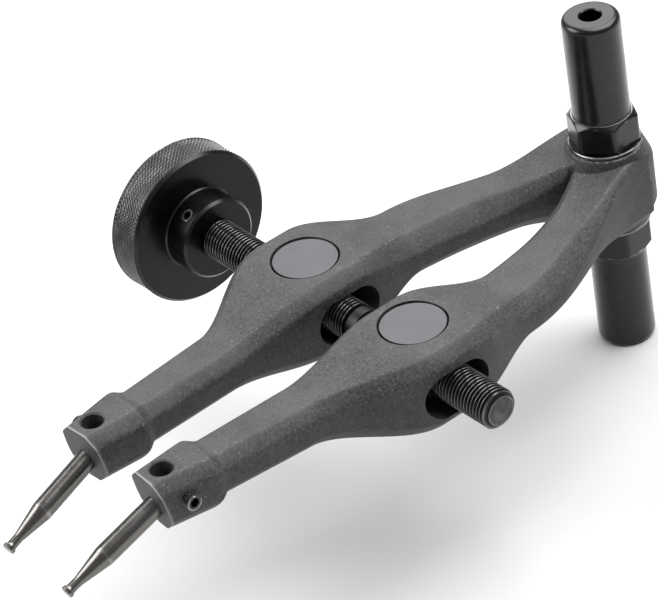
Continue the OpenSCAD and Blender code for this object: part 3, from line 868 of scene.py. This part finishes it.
class PLIERS_OT_handles(bpy.types.Operator):
    """Upper and lower handle"""

    bl_idname = "pliers.handles"
    bl_label = "Handles"

    def execute(self, context):
        scene = context.scene
        t, finish = scene.plier_turned, scene.plier_finishes
        # Black oxide under oil: a mottled near black with long streaks of light
        oxide = turned_material(
            "satin black oxide steel", finish.oxide, finish.bare, 0.3, ring_depth=0.04, oil=0.5, stain=0.4
        )
        grid = handle_grid(t)
        edge = 0.35 * MM
        bright = [
            (t.collar_d / 2 - t.collar_chamfer, t.collar_h - t.collar_chamfer / 2, edge, 1.0),
            (t.grip_d / 2 + edge / 2, t.collar_h, edge, 0.9),
        ]
        upright = (math.cos(t.collar_turn), math.sin(t.collar_turn), 0)
        for name, way in (("upper_handle", 1), ("lower_handle", -1)):
            low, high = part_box(name)
            start, axis = (0, 0, low.z if way > 0 else high.z), (0, 0, way)
            mesh = mesh_of(name, placed(grid, start, axis, upright))
            mark_turning(mesh, start, axis, bright)
            piece(name + "_post", smoothed(mesh), "pivot", name, oxide)
        return {"FINISHED"}


class PLIERS_OT_washers(bpy.types.Operator):
    """Washers between the knuckles and the collars"""

    bl_idname = "pliers.washers"
    bl_label = "Washers"

    def execute(self, context):
        scene = context.scene
        t, finish = scene.plier_turned, scene.plier_finishes
        # Blackened washer: dark faces, with a painted highlight as a bright ring of bare colour on each edge
        # of the rim
        steel = turned_material("blackened washer steel", finish.oxide, finish.bare, 0.3)
        r, bore, h = t.washer_d / 2, t.pin_d / 2 + t.run_clear, t.washer_h
        c, rubbed = 0.25 * MM, 0.22 * MM
        profile = outline(
            (bore, 0, 3), (r - c, 0), (r, c), (r, h - c), (r - c, h, 3), (bore, h, 2), (bore, 0), last=False
        )
        # Painted highlights: rubbed gives the width of the bright ring on each edge of the rim
        bright = [(r - c / 2, z, rubbed, 1.0) for z in (c / 2, h - c / 2)]
        axis = (0, 0, 1)
        for name in ("upper_washer", "lower_washer"):
            start = (0, 0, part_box(name)[0].z)
            mesh = mesh_of(name, placed(lathe(profile, 144), start, axis), loop=True)
            mark_turning(mesh, start, axis, bright)
            piece(name + "_ring", smoothed(mesh), "pivot", name, steel)
        return {"FINISHED"}


class PLIERS_OT_barrel_nuts(bpy.types.Operator):
    """Barrel nuts in the bosses"""

    bl_idname = "pliers.barrel_nuts"
    bl_label = "Barrel nuts"

    def execute(self, context):
        scene = context.scene
        t, finish = scene.plier_turned, scene.plier_finishes
        # Turned nut face: an even mid grey with wide faint rings
        steel = turned_material("turned nut steel", finish.nut, finish.bare, 0.42, ring_mm=0.9)
        r, step = t.nut_d / 2, t.nut_step
        half = scene.plier_arms.boss_h / 2 - t.nut_recess
        neck = half - t.nut_step_h
        profile = outline(
            (r * POLE, -half, 12), (r - step, -half), (r - step, -neck), (r, step - neck, 2),
            (r, neck - step), (r - step, neck), (r - step, half, 12), (r * POLE, half),
        )
        axis, across = (0, 0, 1), (0, 1, 0)
        for name, body in (("far_barrel_nut", "far_nut"), ("near_barrel_nut", "near_nut")):
            centre = middle_of(name)
            barrel = mesh_of(name, placed(lathe(profile, 128), centre, axis))
            start = centre - np.array([0, t.nut_d, 0])
            mesh = carve(barrel, [rod(t.spindle_d / 2 + t.run_clear, 2 * t.nut_d, start, across)])
            mark_turning(mesh, centre, axis)
            piece(name + "_trunnion", smoothed(mesh), body, name, steel)
        return {"FINISHED"}


def thread_cut(height, turn, pitch, hand):
    """Depth share of a thread: 0 on crests 1/8 pitch wide, 1 in roots 1/4 wide, and even flanks between."""
    phase = (height / pitch - hand * turn / (2 * np.pi)) % 1
    apart = np.minimum(phase, 1 - phase)
    crest, root = 1 / 16, 1 / 2 - 1 / 8
    return ramp(crest, root, apart)


class PLIERS_OT_spindle(bpy.types.Operator):
    """Spindle, with its thread cut the opposite way on each side of the waist"""

    bl_idname = "pliers.spindle"
    bl_label = "Spindle"

    def execute(self, context):
        scene = context.scene
        t, finish = scene.plier_turned, scene.plier_finishes
        # Rolled thread with a black film: dark flanks, and fine lighter lines on the rubbed crests
        steel = turned_material("rolled black thread steel", finish.thread, finish.crest, 0.4, patchy=0.45)
        r, p = t.spindle_d / 2, t.thread_pitch
        depth = THREAD_SHARE * p
        free, end = SPINDLE_LOW.y, SPINDLE_HIGH.y
        waist = t.waist_len / 2
        groove = waist + t.relief_len
        cut_rows = [int((g - f) / p * THREAD_ROWS) for f, g in ((free, -groove), (groove, KNOB_LOW.y))]
        bevel, step, lip, edge = 0.9 * depth, 0.5 * MM, 0.2 * MM, 0.3 * MM
        inside = r - bevel
        face_r, root = inside - 2 * step, r - depth
        profile = outline(
            (inside * POLE, free, 8), (face_r, free), (face_r + lip, free + lip), (face_r, free + step, 2),
            (inside - step, free + step, 4), (r, free + step + bevel, cut_rows[0]), (r, -groove, 2),
            (root, -groove, 3), (root, -waist, 2), (r, -waist, 6), (r, waist, 2), (root, waist, 3),
            (root, groove, 2), (r, groove, cut_rows[1]), (r, KNOB_LOW.y, 4), (r, end - depth, 2),
            (root, end, 4), (inside * POLE, end),
        )

        def threaded(radius, height, turn):
            """Radius cut back by the thread, from the grooves up to one pitch inside the knob."""
            on = (np.abs(height) > groove) & (height < KNOB_LOW.y + p)
            return np.minimum(radius, r - depth * on * thread_cut(height, turn, p, np.sign(height)))

        start, axis = np.array([FAR_NUT[0], 0, MID_Z]), (0, 1, 0)
        mesh = mesh_of("spindle", placed(lathe(profile, 64, threaded), start, axis))
        rings = 4
        bright = [(k * inside / rings, free, inside / rings, 0.84) for k in range(rings)]
        bright += [
            (face_r, free, edge, 1.0),
            (r - bevel / 2, free + step + bevel / 2, 2 * edge, 0.95),
            (r - depth / 2, free + step + bevel, edge, 1.0),
        ]
        crest = (r - 0.7 * depth, r)
        mark_turning(mesh, start, axis, bright, crest, groove)
        piece("spindle_screw", smoothed(mesh, 50), "spindle", "spindle", steel)
        return {"FINISHED"}


def knob_screw_place(s, t):
    """Foot of the knob's set screw on the spindle's axis, and its direction, leaning towards the tips."""
    hub_len = KNOB_HIGH.y - KNOB_LOW.y - t.knob_w
    foot = np.array([FAR_NUT[0], KNOB_LOW.y + hub_len / 2, MID_Z])
    axis = np.array([-math.sin(s.knob_screw_turn), 0, math.cos(s.knob_screw_turn)])
    return foot, axis


class PLIERS_OT_knob(bpy.types.Operator):
    """Hand knob, with a diamond knurl on its rim"""

    bl_idname = "pliers.knob"
    bl_label = "Hand knob"

    def execute(self, context):
        scene = context.scene
        t, s, finish = scene.plier_turned, scene.plier_screws, scene.plier_finishes
        # Black oxide on the knob: a near-black face, and a knurl rubbed to grey on its crests
        steel = turned_material(
            "black oxide knob steel", finish.oxide, finish.bare, 0.3, ring_mm=0.7, oil=0.3, patchy=0.45
        )
        r, hub_r = (KNOB_HIGH.z - KNOB_LOW.z) / 2, t.hub_d / 2
        bore = t.spindle_d / 2 + t.run_clear
        back, front = KNOB_HIGH.y, KNOB_LOW.y
        face = back - t.knob_w
        c, hc, fillet = t.knob_chamfer, t.hub_chamfer, 0.5 * MM
        rim = t.knob_w - 2 * c
        around = int(round(2 * np.pi * r / t.knurl_pitch))
        along = int(round(rim / t.knurl_pitch))
        per_pitch, face_rows = 6, 14
        profile = outline(
            (bore, front, 3), (hub_r - hc, front), (hub_r, front + hc, 4), (hub_r, face - fillet),
            (hub_r + fillet, face, face_rows), (r - c, face), (r, face + c, along * per_pitch),
            (r, back - c), (r - c, back, face_rows), (bore, back, 4), (bore, front), last=False,
        )

        def knurled(radius, height, turn):
            """Radius cut back by two waves that wind round the rim opposite ways, and fade at its edges."""
            inward = np.minimum(height - face - c, back - c - height)
            on_rim = (radius > r - SLACK) * ramp(0, t.knurl_pitch / 2, inward)
            wave = turn / (2 * np.pi) * around
            climb = (height - face - c) / rim * along
            groove = [np.abs(2 * ((wave + way * climb) % 1) - 1) for way in (1, -1)]
            return radius - on_rim * t.knurl_depth * np.maximum(*groove)

        start, turning = np.array([FAR_NUT[0], 0, MID_Z]), (0, 1, 0)
        grid = placed(lathe(profile, around * per_pitch, knurled), start, turning)
        foot, axis = knob_screw_place(s, t)
        seat = foot + axis * t.spindle_d / 2
        hole = rod(s.knob_screw_d / 2 + s.fix_clear, t.hub_d, seat, axis, 48, upright=turning)
        mesh = carve(mesh_of("knob", grid, loop=True), [hole])
        rings = 8
        bright = [
            (hub_r - hc / 2, front + hc / 2, 0.5 * MM, 1.0),
            (hub_r + fillet / 2, face - fillet / 2, 0.3 * MM, 1.0),
        ]
        bright += [
            (r - k * t.knurl_depth, face + c + m * rim / rings, 0.9 * MM, 0.77)
            for m in range(rings + 1)
            for k in (0, 1)
        ]
        mark_turning(mesh, start, turning, bright)
        piece("knob_wheel", smoothed(mesh, 40), "knob", "hand_knob", steel)
        return {"FINISHED"}


def set_screw_grid(diameter, pitch, key, reach, columns=60, flare=1.06, lip=0.1 * MM):
    """Set screw: a threaded side with chamfered ends, and a six-sided socket sunk into its outer end.

    The mouth of the socket is wider by the factor flare, over the depth of the lip.
    """
    r = diameter / 2
    depth = THREAD_SHARE * pitch
    root, socket, floor = r - depth, key / math.sqrt(3), reach - key
    rows = int(reach / pitch * THREAD_ROWS)
    profile = outline(
        (r * POLE, 0, 3), (root, 0, 2), (r, depth, rows), (r, reach - depth / 2, 2),
        (r - depth / 2, reach, 3), (socket * flare, reach), (socket, reach - lip, 4), (socket, floor, 3),
        (socket * POLE, floor),
    )

    def cut(radius, height, turn):
        """Radius held inside the hexagon in the socket, and cut back by the thread on the side."""
        threaded = np.minimum(radius, r - depth * thread_cut(height, turn, pitch, 1))
        in_socket = (radius < socket * flare + SLACK) & (height > floor - SLACK)
        held = radius * hex_reach(turn, key) / socket
        return np.where(in_socket, held, np.where(radius < root - SLACK, radius, threaded))

    return lathe(profile, columns, cut)


class PLIERS_OT_set_screws(bpy.types.Operator):
    """The set screws of the two tips and of the knob"""

    bl_idname = "pliers.set_screws"
    bl_label = "Set screws"

    def execute(self, context):
        scene = context.scene
        t, s, finish = scene.plier_turned, scene.plier_screws, scene.plier_finishes
        # Thin black oxide: a dark grey screw, rubbed bright round its socket
        steel = turned_material("thin black oxide screw steel", finish.screw, finish.bare, 0.35)
        inset, edge = 0.4 * MM, 0.3 * MM
        for arm, side in (("far", 1), ("near", -1)):
            name = arm + "_tip_set_screw"
            low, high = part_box(name)
            reach = high.y - low.y
            centre = middle_of(name)
            start, axis = np.array([centre[0], low.y if side > 0 else high.y, centre[2]]), (0, side, 0)
            grid = set_screw_grid(s.tip_screw_d, s.tip_screw_pitch, s.tip_screw_key, reach)
            mesh = mesh_of(name, placed(grid, start, axis))
            mark_turning(mesh, start, axis, [(s.tip_screw_d / 2 - inset, reach, edge, 1.0)])
            piece(name + "_grub", smoothed(mesh, 40), arm + "_arm", name, steel)
        foot, axis = knob_screw_place(s, t)
        begin, end = t.spindle_d / 2 + t.run_clear, t.hub_d / 2 - s.knob_screw_sink
        start, reach = foot + axis * begin, end - begin
        grid = set_screw_grid(s.knob_screw_d, s.knob_screw_pitch, s.knob_screw_key, reach)
        mesh = mesh_of("knob_set_screw", placed(grid, start, axis, (0, 1, 0)))
        mark_turning(mesh, start, axis, [(s.knob_screw_d / 2 - inset, reach, inset, 1.0)])
        piece("knob_set_screw_grub", smoothed(mesh, 40), "knob", "knob_set_screw", steel)
        return {"FINISHED"}


class PLIERS_OT_tips(bpy.types.Operator):
    """The two exchangeable tips"""

    bl_idname = "pliers.tips"
    bl_label = "Tips"

    def execute(self, context):
        scene = context.scene
        a, s, finish = scene.plier_arms, scene.plier_screws, scene.plier_finishes
        # Hardened and polished tips: a warm grey with sharp streaks of light along the shank
        steel = turned_material("polished tempered steel", finish.tip, finish.bare, 0.27)
        r, nose, lip = s.tip_d / 2, s.nose_d / 2, s.lip_d / 2
        cone = s.tip_tail + s.tip_shank
        neck = cone + s.tip_cone
        rim = neck + s.nose_len
        end = rim + s.lip_len
        c, edge, rise = 0.25 * MM, 0.3 * MM, s.lip_len / 4
        profile = outline(
            (r * POLE, 0, 3), (r - c, 0), (r, c, 10), (r, cone - c), (r - c / 8, cone + c, 10),
            (nose, neck, 4), (nose, rim), (lip - c, rim + rise), (lip, rim + rise + c, 2), (lip, end - c),
            (lip - c, end, 4), (lip * POLE, end),
        )
        for arm, side in (("far", 1), ("near", -1)):
            name = arm + "_tip"
            axis = tip_axis(s, side)
            start = jaw_crossing(a, side) - axis * s.tip_tail
            mesh = mesh_of(name, placed(lathe(profile, 96), start, axis))
            mark_turning(mesh, start, axis, [(r, cone, edge, 1.0), (lip, end - c, edge, 1.0)])
            piece(name + "_pin", smoothed(mesh), arm + "_arm", name, steel)
        return {"FINISHED"}


class PLIERS_OT_hinge_pin(bpy.types.Operator):
    """Finish of the hinge pin, whose CAD solid stays"""

    bl_idname = "pliers.hinge_pin"
    bl_label = "Hinge pin"

    def execute(self, context):
        finish = context.scene.plier_finishes
        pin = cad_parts["hinge_pin"]
        pin.data.materials.clear()
        # Ground pin: an even grey, hidden inside the knuckles and the handles
        pin.data.materials.append(turned_material("ground pin steel", finish.nut, finish.bare, 0.3))
        return {"FINISHED"}


class StageSizes(bpy.types.PropertyGroup):
    """Camera, floor and lights"""

    camera_target: FloatVectorProperty(
        name="Camera target", description="Point in the middle of the picture", unit="LENGTH",
        default=(-112.76 * MM, 13.73 * MM, 72.01 * MM),
    )
    camera_azimuth: angle("Camera azimuth", "Turn of the camera from the line along +Y", -33.724)
    camera_elevation: angle("Camera elevation", "Height of the camera over the horizon", 35.813)
    camera_roll: angle("Camera roll", "Turn of the camera about its own line of sight", -9.891)
    camera_distance: length("Camera distance", "From the camera to its target", 1292.8)
    camera_lens: factor("Camera lens", "Focal length in mm", 214.5)
    camera_near: length("Camera near", "Nearest distance that the camera shows", 50)
    camera_far: length("Camera far", "Farthest distance that the camera shows", 20000)
    floor_span: length("Floor span", "Width of the floor", 6000)
    world_light: factor("World light", "Strength of the light from all sides", 0.28)


def area_light(name, place, target, span, power):
    """A square soft light at a place, facing a target."""
    lamp = bpy.data.lights.new(name, "AREA")
    lamp.energy = power
    lamp.size = span
    holder = bpy.data.objects.new(name, lamp)
    holder.location = place
    holder.rotation_mode = "QUATERNION"
    holder.rotation_quaternion = (Vector(target) - Vector(place)).to_track_quat("-Z", "Y")
    bpy.context.scene.collection.objects.link(holder)


class PLIERS_OT_stage(bpy.types.Operator):
    """Floor, lights and camera"""

    bl_idname = "pliers.stage"
    bl_label = "Stage"

    def execute(self, context):
        scene = context.scene
        st, finish = scene.plier_stage, scene.plier_finishes
        half = st.floor_span / 2
        corners = [(-half, -half, 0), (half, -half, 0), (half, half, 0), (-half, half, 0)]
        floor = bpy.data.meshes.new("floor")
        floor.from_pydata(corners, [], [(0, 1, 2, 3)])
        floor.materials.append(floor_material(finish))
        ground = bpy.data.objects.new("floor", floor)
        scene.collection.objects.link(ground)
        target = Vector(st.camera_target)
        for name, place, aim, span, power in LIGHTS:
            area_light(name, target + Vector(place), target + Vector(aim), span, power)
        world = bpy.data.worlds.new("studio")
        world.use_nodes = True
        tree = world.node_tree
        tree.nodes.clear()
        sky = add(tree, "ShaderNodeBackground", {"Color": (1, 1, 1, 1), "Strength": st.world_light})
        add(tree, "ShaderNodeOutputWorld", {"Surface": sky.outputs["Background"]})
        scene.world = world
        camera = bpy.data.cameras.new("camera")
        camera.lens = st.camera_lens
        camera.clip_start, camera.clip_end = st.camera_near, st.camera_far
        holder = bpy.data.objects.new("camera", camera)
        az, el = st.camera_azimuth, st.camera_elevation
        back = Vector((math.sin(az) * math.cos(el), -math.cos(az) * math.cos(el), math.sin(el)))
        look = (-back).to_track_quat("-Z", "Y").to_matrix() @ Matrix.Rotation(st.camera_roll, 3, "Z")
        holder.matrix_world = Matrix.Translation(target + back * st.camera_distance) @ look.to_4x4()
        scene.collection.objects.link(holder)
        scene.camera = holder
        scene.view_settings.view_transform = "Standard"
        return {"FINISHED"}


OPERATORS = (
    PLIERS_OT_arms,
    PLIERS_OT_handles,
    PLIERS_OT_washers,
    PLIERS_OT_barrel_nuts,
    PLIERS_OT_spindle,
    PLIERS_OT_knob,
    PLIERS_OT_set_screws,
    PLIERS_OT_tips,
    PLIERS_OT_hinge_pin,
    PLIERS_OT_stage,
)


class PLIERS_PT_panel(bpy.types.Panel):
    """Sidebar panel that lists the pieces"""

    bl_idname = "PLIERS_PT_panel"
    bl_label = "Circlip pliers"
    bl_space_type = "VIEW_3D"
    bl_region_type = "UI"
    bl_category = "Pliers"

    def draw(self, context):
        for operator in OPERATORS:
            self.layout.operator(operator.bl_idname)


GROUPS = {
    "plier_arms": ArmSizes,
    "plier_turned": TurnedSizes,
    "plier_screws": ScrewSizes,
    "plier_finishes": Finishes,
    "plier_stage": StageSizes,
}


def register():
    """Registers the property groups, the operators and the panel."""
    for group in GROUPS.values():
        bpy.utils.register_class(group)
    for name, group in GROUPS.items():
        setattr(bpy.types.Scene, name, PointerProperty(type=group))
    for shown in (*OPERATORS, PLIERS_PT_panel):
        bpy.utils.register_class(shown)


def unregister():
    """Takes the panel, the operators and the property groups out again."""
    for shown in (PLIERS_PT_panel, *reversed(OPERATORS)):
        bpy.utils.unregister_class(shown)
    for name, group in GROUPS.items():
        delattr(bpy.types.Scene, name)
        bpy.utils.unregister_class(group)


def main():
    """Registers the classes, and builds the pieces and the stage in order."""
    register()
    bpy.ops.pliers.arms()
    bpy.ops.pliers.handles()
    bpy.ops.pliers.washers()
    bpy.ops.pliers.barrel_nuts()
    bpy.ops.pliers.spindle()
    bpy.ops.pliers.knob()
    bpy.ops.pliers.set_screws()
    bpy.ops.pliers.tips()
    bpy.ops.pliers.hinge_pin()
    bpy.ops.pliers.stage()


if __name__ == "__main__":
    main()
